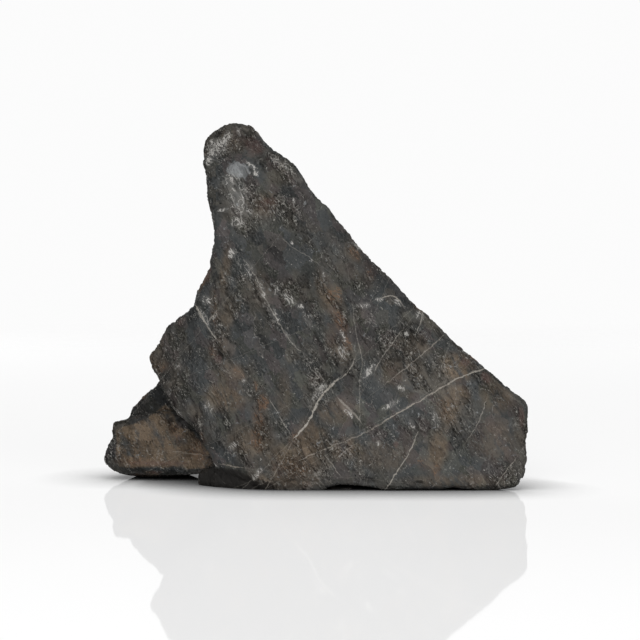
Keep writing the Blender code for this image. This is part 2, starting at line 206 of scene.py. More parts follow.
palePlaces = [                     # white and grey crust, and the flecks beside the veins
    (-37.0, 149.8, 3.8, 1.8, 80, 1.8), (-39.8, 146.0, 4.0, 2.0, 35, 1.7),
    (-42.8, 143.4, 3.4, 2.4, 50, 1.5), (-41.0, 146.0, 6.5, 5.0, 35, 1.0),
    (-45.2, 139.6, 2.6, 2.4, 0, 2.4), (-31.9, 152.2, 0.8, 2.6, 15, 1.3),
    (-24.1, 134.3, 1.5, 1.2, 0, 1.9), (-26, 137.5, 3.4, 1.2, -40, 1.2), (-34, 131, 4.5, 5, 0, 0.75),
    (-31.5, 125, 6, 7, -30, 0.8), (-30.5, 119, 7, 5, -40, 0.75), (-31.5, 113.5, 3.8, 3.2, 0, 1.1),
    (-38.5, 118.5, 2.5, 0.8, 15, 1.0), (-12.5, 138, 11, 2.4, -37, 0.6), (-6, 132, 3, 1.5, -30, 0.6),
    (-34.5, 100, 2, 3, -10, 1.0), (-26.6, 93.5, 5, 2.6, -62, 0.7), (-21.5, 84.5, 6, 2.0, -64, 0.6),
    (-16, 74, 6, 1.6, -64, 0.8), (-10, 64.5, 5, 1.3, -55, 0.6), (-9.5, 80.5, 4.0, 1.8, -45, 1.4),
    (-15, 84, 1.5, 3, 0, 1.0), (-5, 77.5, 1.8, 1.4, 0, 1.0), (-46.5, 73, 6, 1.8, -58, 0.9),
    (-42, 73, 2.8, 1.2, 40, 0.8), (-45, 80, 4, 2.6, 0, 0.65), (36.4, 79, 2.6, 1.2, -30, 1.3),
    (28.5, 80.5, 2.2, 1.2, 0, 0.8), (37.5, 43.2, 2.2, 1.4, -30, 1.6), (42.1, 28.1, 1.0, 2.8, 25, 1.6),
    (12.5, 58, 1.8, 4, 25, 1.1), (13, 65, 1.2, 4, 20, 0.9), (-0.5, 97, 0.8, 0.8, 0, 1.2),
    (-8.7, 104.5, 0.7, 1.1, 0, 1.5), (-8, 122.5, 0.7, 1.8, 10, 1.3), (-33.5, 18.5, 3.6, 1.8, 45, 0.8),
    (-29, 46, 1.4, 0.9, -40, 1.2), (28, 20, 1.6, 1.2, 0, 1.1), (-44, 34, 3, 5, 30, 0.6),
    (22, 78, 3.5, 1.6, 0, 0.8), (40, 66, 1.4, 2, 0, 1.0), (24, 50, 5, 2, 50, 0.9),
    (3, 42, 6, 2, 55, 1.0), (15, 33, 5, 1.5, -50, 0.85), (-23, 7, 4, 1.5, 55, 0.8),
    (33, 36, 6, 1.5, 30, 0.7), (52, 30, 2, 5, 10, 0.7), (5, 90, 1, 5, 10, 0.7),
    (-2, 72, 5, 1.5, -60, 0.8), (46, 74, 3, 3, 0, 0.8),
]
toneLightAndShadePlaces = [                     # lighter where positive, darker where negative: partly the stone's own tone and partly painted light and shade, such as the broad lightening over the right half and the painted shade along the bottom edge
    (-16, 104, 9, 6, 0, -0.35), (-22, 64, 12, 3, -62, -0.35), (25, 94, 26, 3, -46, -0.28),
    (41, 66, 5, 4, 0, -0.3), (74, 44, 18, 4, -40, -0.3), (-43, 123, 12, 3, 90, -0.35),
    (-34, 100, 6, 4, 70, -0.25), (-56, 61, 17, 11, 60, -0.25), (1, 85, 10, 4, -75, -0.2),
    (-46, 87, 14, 6, 70, -0.3), (-32, 128, 11, 6, 85, 0.4), (14, 56, 7, 4, -60, 0.3),
    (57, 52, 11, 6, 75, 0.35), (58, 53, 5, 6, 0, 0.25), (45, 24, 6, 5, 0, 0.28),
    (26, 24, 7, 5, 0, 0.25), (-12, 56, 5, 4, 0, 0.15), (-26, 54, 5, 3, 0, 0.2), (-22, 35, 6, 4, 0, 0.2),
    (16, 37, 7, 4, 0, 0.15), (-9, 126, 8, 5, -40, -0.35), (-25, 147, 8, 4, -35, -0.3),
    (46, 40, 21, 14, 0, 0.1), (-9, 80, 6, 4, -60, 0.15), (-34, 2.5, 16, 2, -8, -0.3),
    (62, 1.5, 22, 2, 0, -0.25), (-41.3, 151.8, 4.5, 2.2, 25, -0.6), (42, 30, 55, 34, 0, 0.17),
    (50, 40, 10, 14, 0, 0.10), (57, 40, 7, 18, 0, 0.10), (-3, 97, 20, 15, 0, -0.12),
    (-17, 93, 13, 16, 0, -0.12), (66, 52, 16, 4, -40, -0.3), (-50, 82, 16, 4, 62, -0.25),
    (8, 5, 22, 4, 0, 0.15), (-52, 50, 5, 7, 0, 0.15), (-20, 112, 12, 10, 0, 0.1),
]
chalkPlaces = [(-31.4, 135.8, 5.4, 4.0, -15, 1.2)]      # one smooth blue-grey patch below the peak
footFace = [                       # (x, z) round the brown face of the foot
    (-86.0, 22.5), (-78.0, 24.8), (-69.7, 29.2), (-64.8, 33.1), (-62.2, 30.0), (-59.6, 23.4),
    (-53.9, 21.7), (-47.7, 15.1), (-43.4, 7.5), (-43.8, 4.9), (-60.5, 5.8), (-71.5, 5.8), (-85.6, 5.8),
    (-86.9, 11.1), (-86.0, 17.7),
]


def copyNode(nodeName, pieceName):
    piece = bpy.data.objects.new(pieceName, frame["nodes"][nodeName].data.copy())
    bpy.context.scene.collection.objects.link(piece)
    pick(piece)
    bpy.ops.object.mode_set(mode="EDIT")
    bpy.ops.mesh.select_all(action="SELECT")
    bpy.ops.mesh.remove_doubles(threshold=0.00001)
    bpy.ops.object.mode_set(mode="OBJECT")
    return piece


def readRow(piece, what):
    flat = np.empty(len(piece.data.vertices) * 3)
    piece.data.vertices.foreach_get(what, flat)
    return flat.reshape(-1, 3)


def movePoints(piece, points):
    piece.data.vertices.foreach_set("co", (points * mm).ravel())
    piece.data.update()


def placesMask(points, places, edge=(0.35, 1.15)):
    # soft ellipses on the face, the strongest one winning
    found = np.zeros(len(points))
    for x, z, halfLength, halfWidth, turn, strength in places:
        cos, sin = math.cos(math.radians(turn)), math.sin(math.radians(turn))
        dx, dz = points[:, 0] - x, points[:, 2] - z
        far = np.hypot((dx * cos + dz * sin) / halfLength, (dz * cos - dx * sin) / halfWidth)
        found = np.maximum(found, strength * (1.0 - smoothStep(*edge, far)))
    return found


def placesSum(points, places):
    # broad soft ellipses that lighten or darken, one on top of another
    total = np.zeros(len(points))
    for x, z, halfLength, halfWidth, turn, strength in places:
        total += strength * placesMask(points, [(x, z, halfLength, halfWidth, turn, 1.0)], (0.2, 1.3))
    return total


def insideShare(points, corners, soft):
    # 1 inside the outline and 0 outside it, blending over soft mm on either side
    x, z = points[:, 0], points[:, 2]
    inside = np.zeros(len(points), bool)
    nearest = np.full(len(points), np.inf)
    for (ax, az), (bx, bz) in zip(corners, corners[1:] + corners[:1]):
        if az != bz:
            inside ^= ((az > z) != (bz > z)) & (x < ax + (z - az) * (bx - ax) / (bz - az))
        dx, dz = bx - ax, bz - az
        t = np.clip(((x - ax) * dx + (z - az) * dz) / (dx ** 2 + dz ** 2), 0.0, 1.0)
        nearest = np.minimum(nearest, np.hypot(x - ax - t * dx, z - az - t * dz))
    return smoothStep(-soft, soft, np.where(inside, nearest, -nearest))


def alongGrain(points, stretch):
    # the same points, drawn together along the streaks, so that noise on them runs long
    angle = math.radians(stoneSettings["grainAngle"])
    along = points[:, 0] * math.cos(angle) + points[:, 2] * math.sin(angle)
    across = points[:, 2] * math.cos(angle) - points[:, 0] * math.sin(angle)
    return np.column_stack([along / stretch, points[:, 1], across])


def paint(piece, name, values):
    layer = piece.data.attributes.new(name, "FLOAT", "POINT")
    layer.data.foreach_set("value", values.astype(np.float32))


def tiltedFacets(points, size, seed):
    # each small facet of the break leans its own way; heights are about -1 to 1
    shift = Vector((seed * 7.7, seed * 3.3, seed * 9.1))
    heights = np.empty(len(points))
    for index, point in enumerate(points):
        spot = Vector(point) / size + shift
        centre = noise.voronoi(spot)[1][0]
        heights[index] = (spot - centre).dot(noise.cell_vector(centre * 13.7) * 2.0 - Vector((1, 1, 1)))
    return heights


def coarsenHiddenSide(piece, normals):
    # the back and the underside keep their relief with fewer triangles
    group = piece.vertex_groups.new(name="hidden")
    hidden = np.flatnonzero((normals[:, 1] > 0.3) | (normals[:, 2] < -0.6))
    group.add(hidden.tolist(), 1.0, "REPLACE")
    triangles = 2 * len(piece.data.polygons)
    print("skin:", triangles, "triangles before the hidden side is made coarser")
    thin = piece.modifiers.new("thin", "DECIMATE")
    thin.ratio = min(1.0, stoneSettings["triangles"] / triangles)
    thin.vertex_group = "hidden"
    bpy.ops.object.modifier_apply(modifier="thin")
    piece.vertex_groups.clear()


def behindFace(points):
    # how far each point lies behind the leaning plane of the broad face
    lean = math.tan(math.radians(stoneSettings["faceLean"]))
    return points[:, 1] - stoneSettings["faceAtFloor"] - points[:, 2] * lean


def shares(points, normals):
    # how far each point belongs to the broad face, to the foot's front and to the sole under the left end
    x, z = points[:, 0], points[:, 2]
    facing = smoothStep(-0.35, -0.8, normals[:, 1])
    behind = behindFace(points)
    face = facing * smoothStep(16.0, 9.0, behind)
    foot = smoothStep(0.1, -0.3, normals[:, 1]) * smoothStep(16.0, 20.0, behind)
    foot *= smoothStep(-40.0, -43.0, x) * smoothStep(50.0, 46.0, z)
    sole = smoothStep(3.6, 5.5, behind) * smoothStep(24.0, 20.0, behind) * smoothStep(9.5, 7.5, z)
    sole *= smoothStep(8.0, 0.0, x) * smoothStep(-57.0, -54.0, x)
    return np.maximum(face, facing * foot), foot, sole


def makeSkin():
    piece = copyNode("rock", "stone")
    skin = piece.modifiers.new("skin", "REMESH")
    skin.mode = "VOXEL"
    skin.voxel_size = stoneSettings["voxel"] * mm
    bpy.ops.object.modifier_apply(modifier="skin")
    soften = piece.modifiers.new("soften", "SMOOTH")
    soften.factor = 0.5
    soften.iterations = stoneSettings["smoothing"]
    bpy.ops.object.modifier_apply(modifier="soften")
    return piece


def roughness(points, front):
    # how rough the break is, from place to place
    patchy = noiseAt(alongGrain(points, 1.6), stoneSettings["patchSize"], 11)
    rough = np.clip(0.42 + 0.9 * patchy, 0.0, 1.0)
    rough = np.maximum(rough, front * placesMask(points, roughPlaces))
    rough = rough * (1.0 - 0.85 * front * placesMask(points, smoothPlaces))
    return np.maximum(rough, 0.55 * (1.0 - front))


def carve(piece, points, normals, front, rough, knots):
    # moves the points in or out by the relief; returns how far each one lies in a hollow, and how far
    # in a hollow or a pore, both from 0 to 1; the finish darkens the second as painted shade
    rim = 1.0 - smoothStep(0.45, 0.85, np.abs(normals[:, 1]))
    streaks = noiseAt(alongGrain(points, 3.0), stoneSettings["streakSize"], 12, 3)
    scales = noiseAt(alongGrain(points, 1.8), stoneSettings["plateSize"], 14, 3)
    scales *= stoneSettings["platesPerWave"]
    plates = np.floor(scales) + smoothStep(0.0, 0.16, scales % 1.0)
    facets = tiltedFacets(alongGrain(points, 1.5) + 0.8 * knots[:, None], stoneSettings["facetSize"], 15)
    chipSize, smallChipSize = stoneSettings["chipSizes"]
    chips = np.maximum(tiltedFacets(points, chipSize, 16), 0.0)
    chips += 0.5 * np.maximum(tiltedFacets(points, smallChipSize, 17), 0.0)
    hollows = front * placesMask(points, [(*pit[:5], 1.0) for pit in pits], (0.2, 1.2))
    pores = smoothStep(0.22, 0.55, -streaks) * rough

    depth = -stoneSettings["hollowDepth"] * hollows - stoneSettings["poreDepth"] * pores
    depth += stoneSettings["plateHeight"] * (plates - scales) * (0.25 + 0.75 * rough)
    depth += stoneSettings["facetHeight"] * facets * (0.35 + 0.65 * rough)
    grain = stoneSettings["streakHeight"] * streaks
    grain += stoneSettings["knotHeight"] * np.minimum(knots, 0.25)
    depth += rough * grain + stoneSettings["knotHeightAll"] * knots
    chipped = stoneSettings["chipDepth"] * chips
    depth += rim * (stoneSettings["swell"] - chipped - stoneSettings["knotDepthRim"] * np.abs(knots))
    depth -= stoneSettings["sunk"]
    underside = smoothStep(3.0, 0.6, points[:, 2]) * smoothStep(-0.2, -0.8, normals[:, 2])
    depth *= 1.0 - underside                       # what stands on the floor stays flat
    movePoints(piece, points + normals * depth[:, None])
    return hollows, np.clip(hollows + 0.8 * pores, 0.0, 1.0)


def colourIn(piece, points, front, foot, sole, knots):
    # colours on the face where the lists above put them, and scattered over the sides and the back;
    # painted shade darkens the sides, the sole and the foot outside its brown face
    side = (1.0 - front) * (1.0 - sole)
    far = smoothStep(8.0, 20.0, behindFace(points))
    brownFoot = foot * insideShare(points + 0.9 * knots[:, None], footFace, 0.5)
    # painted light and shade, mixed with the stone's own tone, from the lighter and darker places on the
    # face
    toneAndShade = front * (1.0 - foot) * placesSum(points, toneLightAndShadePlaces)
    # painted shade: the foot outside its brown face, the sole under the left end and the sides of the
    # stone are darkened; the brown face of the foot is made a little darker too
    toneAndShade += -0.16 * brownFoot - 0.45 * (foot - brownFoot) - 0.5 * sole - 0.15 * side * (1.0 - foot)
    paint(piece, "toneAndShade", toneAndShade)
    for name, places, size, seed, low, high in (
        ("rust", rustPlaces, 16.0, 21, 0.3, 0.7),
        ("red", redPlaces, 14.0, 23, 0.45, 0.7),
        ("pale", palePlaces, 12.0, 24, 0.4, 0.75),
    ):
        scattered = side * smoothStep(low, high, noiseAt(points, size, seed))
        paint(piece, name, front * placesMask(points, places) + scattered)
    brown = front * placesMask(points, brownPlaces)
    brown += side * far * smoothStep(0.1, 0.6, noiseAt(points, 30.0, 22))
    paint(piece, "brown", np.maximum(brown * (1.0 - foot), 1.35 * brownFoot))
    paint(piece, "chalk", front * placesMask(points, chalkPlaces, (0.3, 1.3)))


def buildStone():
    piece = makeSkin()
    points, normals = readRow(piece, "co") / mm, readRow(piece, "normal")
    front, foot, sole = shares(points, normals)
    rough = roughness(points, front)
    knots = noiseAt(points, stoneSettings["knotSize"], 13, 2)
    hollows, hollowShade = carve(piece, points, normals, front, rough, knots)
    paint(piece, "rough", rough)
    # painted shade: the hollows, the pores and the sole under the left end are darkened in the finish
    paint(piece, "hollowShade", hollowShade + 0.3 * sole * (1.0 - hollows) + sole)
    colourIn(piece, points, front, foot, sole, knots)

    pick(piece)
    coarsenHiddenSide(piece, normals)
    low, high = [np.array(corner) / mm for corner in cadBox]
    clearance = stoneSettings["clearance"]
    movePoints(piece, np.clip(readRow(piece, "co") / mm, low + clearance, high - clearance))
    bpy.ops.object.shade_smooth()
    print("stone:", len(piece.data.polygons), "faces")
    return piece


# the stone's finish

veins = [                          # (widest in mm, brightness, warmth, (x, z) along it on the face in mm)
    (0.45, 0.5, 0.8, [(-21, -1.5), (-17.8, 3.9), (-12.4, 13.5), (-7.3, 22.6)]),
    (1.25, 1.0, 0.1, [(-7.3, 22.6), (-2.2, 28.5), (3.3, 38.6), (10.5, 46.5)]),
    (0.7, 0.7, 0.2, [(9.0, 45.4), (14.3, 49.1), (18.1, 55.4)]),
    (0.6, 0.6, 0.5, [(-5.2, 13.0), (-0.5, 15.1), (7.5, 18.5), (18.9, 22.6), (32.8, 30.6)]),
    (0.75, 0.85, 0.3, [(30.5, 29.4), (41.3, 35.6), (44.3, 37.3), (54.0, 42.8), (60.0, 46.1)]),
    (0.8, 0.75, 0.2, [(58.0, 45.3), (64.0, 48.2), (73.1, 51.2)]),
    (0.6, 0.75, 0.2, [(30.2, -1.0), (32.8, 3.5), (37.0, 10.1), (41.2, 16.8), (44.6, 24.7)]),
    (0.45, 0.4, 0.1, [(16.9, 79.0), (19.0, 64.6), (21.1, 54.5), (20.2, 46.5), (20.2, 34.4), (20.2, 26.0)]),
    (0.6, 0.55, 0.5, [(31.6, 45.3), (43.5, 54.9), (55.4, 65.0)]),
    (0.6, 0.5, 0.2, [(73.5, 37.3), (70.4, 28.9), (65.3, 21.0)]),
    (0.6, 0.5, 0.4, [(86.0, 13.3), (77.8, 2.6)]),
    (1.0, 0.75, 0.1, [(-49.8, 77.3), (-45.1, 69.7), (-40.9, 63.8)]),
    (1.0, 0.6, 0.3, [(-40.5, 75.6), (-44.3, 71.0)]),
    (0.55, 0.5, 0.1, [(-28.2, 96.4), (-25.7, 93.0), (-18.0, 77.3), (-10.7, 65.0), (-5.2, 59.1)]),
    (0.6, 0.6, 0.2, [(47.4, 75.5), (44.0, 65.5)]),
    (0.6, 0.6, 0.2, [(38.0, 67.2), (32.1, 59.6), (26.6, 50.7)]),
    (0.32, 0.4, 0.1, [(-12.5, 105.7), (2.4, 95.5)]),
    (0.45, 0.5, 0.0, [(-17.9, 37.7), (-9.0, 23.5)]),
    (1.3, 0.5, 0.2, [(11.7, 38.6), (15.5, 34.5), (20.2, 29.3)]),
    (0.5, 0.4, 0.5, [(18.9, 20.1), (10.9, 14.3)]),
    (0.5, 0.45, 0.4, [(5.8, 14.3), (11.7, 6.8)]),
    (0.8, 0.7, 0.2, [(28.3, 80.7), (35.1, 81.5), (38.5, 78.1)]),
    (0.7, 0.55, 0.7, [(-39.3, 10.3), (-30.1, 9.5)]),
    (0.5, 0.35, 0.8, [(-62.0, 13.0), (-48.0, 11.0)]),
]

finish = {                         # colours are linear
    "coolGrey": (0.043, 0.046, 0.0465),
    "warmGrey": (0.082, 0.073, 0.061),
    "olive": (0.064, 0.064, 0.052),
    "plum": (0.070, 0.057, 0.055),
    "brown": (0.122, 0.091, 0.063),
    "rust": (0.170, 0.102, 0.064),
    "red": (0.105, 0.062, 0.053),
    "pale": (0.450, 0.435, 0.410),
    "chalk": (0.165, 0.171, 0.173),
    # painted shade in the hollows, the pores and the sole
    "paintedShade": (0.012, 0.011, 0.010),
    "vein": (0.350, 0.332, 0.298),
    "veinWarm": (0.200, 0.135, 0.085),
    # pale grains and quartz, also used for the painted highlights on the light strokes and the plate edges
    "fleckAndHighlight": (0.300, 0.289, 0.266),
    "veinWidth": 0.62,             # of the widths given above
    "specular": 0.10,
    "warpScale": 350.0,            # per m, of the noise that bends what is drawn on the stone
    "warps": (0.005, 0.0018),      # m, how far it bends, much and a little
    "facetSize": 4.5,              # mm, here and below
    "plateSize": 4.4,
    "smallPlateSize": 2.2,
    "gritSize": 0.7,
    "strokeSize": 0.62,
    "crackCells": 12.0,
    "crackDark": 0.9,              # shares of 1, here and below
    # shares of the light strokes, partly pale grains and partly painted highlight, and of the painted
    # highlight on the plate edges
    "strokeFleckAndHighlight": 0.8,
    "edgeHighlight": 0.5,
    "chalkShare": 0.9,
    "bumpDepth": 0.0022,           # m
    "threadReach": (0.039, 0.022), # how far from the middle of its noise a thread spreads, per net
    "threadEdge": 0.018,
    "stains": [                    # share of the wash and of the threads
        ("rust", 0.18, 0.65),
        ("red", 0.40, 0.5),
        ("pale", 0.14, 0.85),
    ],
}


def addNode(tree, kind, inputs, **settings):
    made = tree.nodes.new(kind)
    for name, value in settings.items():
        setattr(made, name, value)
    for name, value in inputs.items():
        if isinstance(value, bpy.types.NodeSocket):
            tree.links.new(value, made.inputs[name])
        else:
            made.inputs[name].default_value = value
    return made


def maths(tree, operation, a, b=0.0, c=0.0):
    return addNode(tree, "ShaderNodeMath", {0: a, 1: b, 2: c}, operation=operation).outputs[0]


def ramp(tree, value, low, high, toLow=0.0, toHigh=1.0):
    inputs = {"Value": value, "From Min": low, "From Max": high, "To Min": toLow, "To Max": toHigh}
    return addNode(tree, "ShaderNodeMapRange", inputs, interpolation_type="SMOOTHSTEP").outputs["Result"]


def mixColour(tree, share, a, b, blend="MIX"):
    made = addNode(tree, "ShaderNodeMix", {0: share}, data_type="RGBA", blend_type=blend)
    for socket, colour in ((6, a), (7, b)):
        if isinstance(colour, bpy.types.NodeSocket):
            tree.links.new(colour, made.inputs[socket])
        else:
            made.inputs[socket].default_value = (*colour, 1.0)
    return made.outputs[2]


def attribute(tree, name):
    return addNode(tree, "ShaderNodeAttribute", {}, attribute_name=name).outputs["Fac"]


def grainNoise(tree, place, size, detail=4.0, roughness=0.6, distortion=0.0):
    inputs = {"Vector": place, "Scale": 1.0 / (size * mm), "Detail": detail, "Roughness": roughness}
    inputs["Distortion"] = distortion
    return addNode(tree, "ShaderNodeTexNoise", inputs).outputs["Fac"]


def streakPlace(tree, place, stretch):
    turned = addNode(tree, "ShaderNodeMapping", {"Vector": place}, vector_type="TEXTURE")
    turned.inputs["Rotation"].default_value = (0.0, -math.radians(stoneSettings["grainAngle"]), 0.0)
    turned.inputs["Scale"].default_value = (stretch, 1.0, 1.0)
    return turned.outputs[0]


def warped(tree, place):
    # the place shifted by noise, much and a little, so that what is drawn on it isn't straight
    inputs = {"Vector": place, "Scale": finish["warpScale"], "Detail": 3.0}
    warp = addNode(tree, "ShaderNodeTexNoise", inputs).outputs["Color"]
    inputs = {0: warp, 1: (0.5, 0.5, 0.5)}
    shift = addNode(tree, "ShaderNodeVectorMath", inputs, operation="SUBTRACT").outputs[0]
    shifted = []
    for reach in finish["warps"]:
        inputs = {0: shift, 1: (reach, reach, reach), 2: place}
        shifted.append(addNode(tree, "ShaderNodeVectorMath", inputs, operation="MULTIPLY_ADD").outputs[0])
    return shifted


def stairs(tree, value, steps):
    # the value cut into steps with short risers, and how far each place is along its own step
    scaled = maths(tree, "MULTIPLY", value, steps)
    step = maths(tree, "FLOOR", scaled)
    within = maths(tree, "SUBTRACT", scaled, step)
    return maths(tree, "DIVIDE", maths(tree, "ADD", step, ramp(tree, within, 0.70, 1.0)), steps), within


def veinMask(tree, place, wobble, breaks, wide, bright, points):
    # the vein is a thin upright sheet through the stone; a curve bends it from end to end
    (startX, startZ), (endX, endZ) = points[0], points[-1]
    length = math.hypot(endX - startX, endZ - startZ)
    angle = math.atan2(endZ - startZ, endX - startX)
    own = addNode(tree, "ShaderNodeMapping", {"Vector": place}, vector_type="TEXTURE")
    own.inputs["Location"].default_value = (startX * mm, 0.0, startZ * mm)
    own.inputs["Rotation"].default_value = (0.0, -angle, 0.0)
    own.inputs["Scale"].default_value = (length * mm, mm, mm)
    split = addNode(tree, "ShaderNodeSeparateXYZ", {0: own.outputs[0]})
    along, across = split.outputs[0], split.outputs[2]
    most = 4.0                     # mm, the largest bend that the curve can hold
    bend = addNode(tree, "ShaderNodeFloatCurve", {"Value": along})
    curve = bend.mapping.curves[0]
    curve.points[0].location = (0.0, 0.5)
    curve.points[1].location = (1.0, 0.5)
    for x, z in points[1:-1]:
        dx, dz = x - startX, z - startZ
        share = (dx * math.cos(angle) + dz * math.sin(angle)) / length
        side = dz * math.cos(angle) - dx * math.sin(angle)
        curve.points.new(share, 0.5 + side / (2.0 * most))
    bend.mapping.update()
    middle = maths(tree, "MULTIPLY_ADD", bend.outputs[0], 2.0 * most, -most)
    offset = maths(tree, "SUBTRACT", maths(tree, "SUBTRACT", across, middle), wobble)
    fade = 2.0 / length
    begins, ends = ramp(tree, along, -fade, fade), ramp(tree, along, 1.0 + fade, 1.0 - fade)
    body = maths(tree, "MULTIPLY", breaks, maths(tree, "MULTIPLY", begins, ends))
    half = maths(tree, "MULTIPLY", body, 0.5 * finish["veinWidth"] * wide)
    sheet = maths(tree, "SUBTRACT", half, maths(tree, "ABSOLUTE", offset))
    return maths(tree, "MULTIPLY", ramp(tree, sheet, -0.12, 0.12), bright)


def facetShades(tree, bent):
    # three random shades from 0 to 1 for each small facet
    cells = addNode(tree, "ShaderNodeTexVoronoi", {"Vector": streakPlace(tree, bent, 1.7)})
    cells.inputs["Scale"].default_value = 1.0 / (finish["facetSize"] * mm)
    return addNode(tree, "ShaderNodeSeparateColor", {0: cells.outputs["Color"]}).outputs


def groundColour(tree, place, bent, streaky, rough, facet):
    # cool in the smooth breaks, warm in the rough ones, each facet a little different
    broad = grainNoise(tree, place, 14.0, 3.0)
    warmth = maths(tree, "MULTIPLY_ADD", rough, 0.45, maths(tree, "MULTIPLY_ADD", broad, 1.3, -0.60))
    colour = mixColour(tree, ramp(tree, warmth, 0.05, 0.75), finish["coolGrey"], finish["warmGrey"])
    colour = mixColour(tree, ramp(tree, facet[0], 0.6, 1.0, 0.0, 0.55), colour, finish["plum"])
    colour = mixColour(tree, ramp(tree, facet[1], 0.6, 1.0, 0.0, 0.55), colour, finish["olive"])
    brownNoise = grainNoise(tree, streaky, 4.0, 5.0, 0.7)
    brown = maths(tree, "MULTIPLY", attribute(tree, "brown"), ramp(tree, brownNoise, 0.30, 0.56))
    brown = maths(tree, "MINIMUM", maths(tree, "MULTIPLY", brown, 0.75), 1.0)
    colour = mixColour(tree, brown, colour, finish["brown"])
    blotNoise = grainNoise(tree, bent, 2.4, 5.0, 0.7)
    blot = maths(tree, "MULTIPLY_ADD", attribute(tree, "chalk"), 0.3, blotNoise)
    chalky = ramp(tree, blot, 0.62, 0.68, 0.0, finish["chalkShare"])
    return mixColour(tree, chalky, colour, finish["chalk"])


def brokenPlates(tree, place, streaky):
    # the break is a pile of thin plates, large and small: their heights, the painted shade at their feet
    # and the painted highlight on the edges of the large ones
    plates = grainNoise(tree, streaky, finish["plateSize"], 3.0, 0.5)
    smallPlates = grainNoise(tree, streakPlace(tree, place, 1.8), finish["smallPlateSize"], 2.0, 0.5)
    coarse, coarseWithin = stairs(tree, plates, 7.0)
    fine, fineWithin = stairs(tree, smallPlates, 5.0)
    coarseRise, coarseTop = ramp(tree, coarseWithin, 0.62, 0.74), ramp(tree, coarseWithin, 1.0, 0.94)
    edge = maths(tree, "MULTIPLY", coarseRise, coarseTop)
    coarseFootShade, fineFootShade = ramp(tree, coarseWithin, 0.24, 0.04), ramp(tree, fineWithin, 0.20, 0.04)
    footShade = maths(tree, "MAXIMUM", coarseFootShade, fineFootShade)
    return coarse, fine, edge, footShade


def shadeBreak(tree, colour, bent, hollowShade, broken, grit, facetTone, edge, footShade):
    # painted shade at the feet of the plates and in the hollows, and dark cracks; short light strokes,
    # partly pale grains and partly painted highlights, and painted highlights on the plate edges
    strokes = grainNoise(tree, streakPlace(tree, bent, 3.2), finish["strokeSize"], 2.0, 0.55)
    spread = maths(tree, "MULTIPLY_ADD", broken, 2.5, 1.2)
    toneAndShade = maths(tree, "MULTIPLY_ADD", maths(tree, "SUBTRACT", grit, 0.5), spread, 1.0)
    toneAndShade = maths(tree, "ADD", toneAndShade, maths(tree, "MULTIPLY_ADD", facetTone, 0.56, -0.28))
    # the painted tone brings painted light and shade as well as the stone's own tone
    toneAndShade = maths(tree, "ADD", toneAndShade, attribute(tree, "toneAndShade"))
    # painted shade at the feet of the plates, and dark cracks
    plateShadeAndCracks = maths(tree, "MULTIPLY", footShade, maths(tree, "MULTIPLY_ADD", broken, 0.55, 0.12))
    cracks = ramp(tree, maths(tree, "MULTIPLY_ADD", broken, -0.10, strokes), 0.34, 0.28)
    plateShadeAndCracks = maths(tree, "MAXIMUM", plateShadeAndCracks, maths(tree, "MULTIPLY", cracks, finish["crackDark"]))
    toneAndShade = maths(tree, "MULTIPLY", toneAndShade, maths(tree, "SUBTRACT", 1.0, plateShadeAndCracks))
    toneAndShade = maths(tree, "MAXIMUM", toneAndShade, 0.12)
    toneAndShadeColour = addNode(tree, "ShaderNodeCombineColor", {0: toneAndShade, 1: toneAndShade, 2: toneAndShade}).outputs[0]
    colour = mixColour(tree, 1.0, colour, toneAndShadeColour, "MULTIPLY")
    # painted shade: near black in the hollows, the pores and the sole
    paintedShade = maths(tree, "MINIMUM", maths(tree, "MULTIPLY", hollowShade, 0.7), 0.95)
    colour = mixColour(tree, paintedShade, colour, finish["paintedShade"])
    # painted highlights: light strokes, partly pale grains, and the lit edges of the plates
    lightStrokes = maths(tree, "MULTIPLY_ADD", broken, 0.12, strokes)
    light = ramp(tree, lightStrokes, 0.69, 0.735, 0.0, finish["strokeFleckAndHighlight"])
    plateEdgeHighlights = maths(tree, "MULTIPLY", edge, ramp(tree, grit, 0.48, 0.58))
    plateEdgeHighlights = maths(tree, "MULTIPLY", plateEdgeHighlights, broken)
    light = maths(tree, "MAXIMUM", light, maths(tree, "MULTIPLY", plateEdgeHighlights, finish["edgeHighlight"]))
    light = maths(tree, "MULTIPLY", light, ramp(tree, hollowShade, 0.9, 0.3))
    return mixColour(tree, light, colour, finish["fleckAndHighlight"])


def addStains(tree, colour, hardlyBent):
    # stains and crust: a thin wash, and a net of threads that grow thicker where there is more of it
    near = [
        maths(tree, "ABSOLUTE", maths(tree, "SUBTRACT", net, 0.5))
        for net in (
            grainNoise(tree, streakPlace(tree, hardlyBent, 2.6), 2.2, 1.5, 0.5),
            grainNoise(tree, streakPlace(tree, hardlyBent, 1.2), 3.6, 2.0, 0.5),
        )
    ]
    for name, wash, full in finish["stains"]:
        mask = attribute(tree, name)
        shown = maths(tree, "MULTIPLY", maths(tree, "MINIMUM", mask, 1.0), wash)
        for gap, reach in zip(near, finish["threadReach"]):
            inside = maths(tree, "SUBTRACT", maths(tree, "MULTIPLY", mask, reach), gap)
            thread = ramp(tree, inside, 0.0, finish["threadEdge"], 0.0, full)
            shown = maths(tree, "MAXIMUM", shown, thread)
        colour = mixColour(tree, shown, colour, finish[name])
    return colour


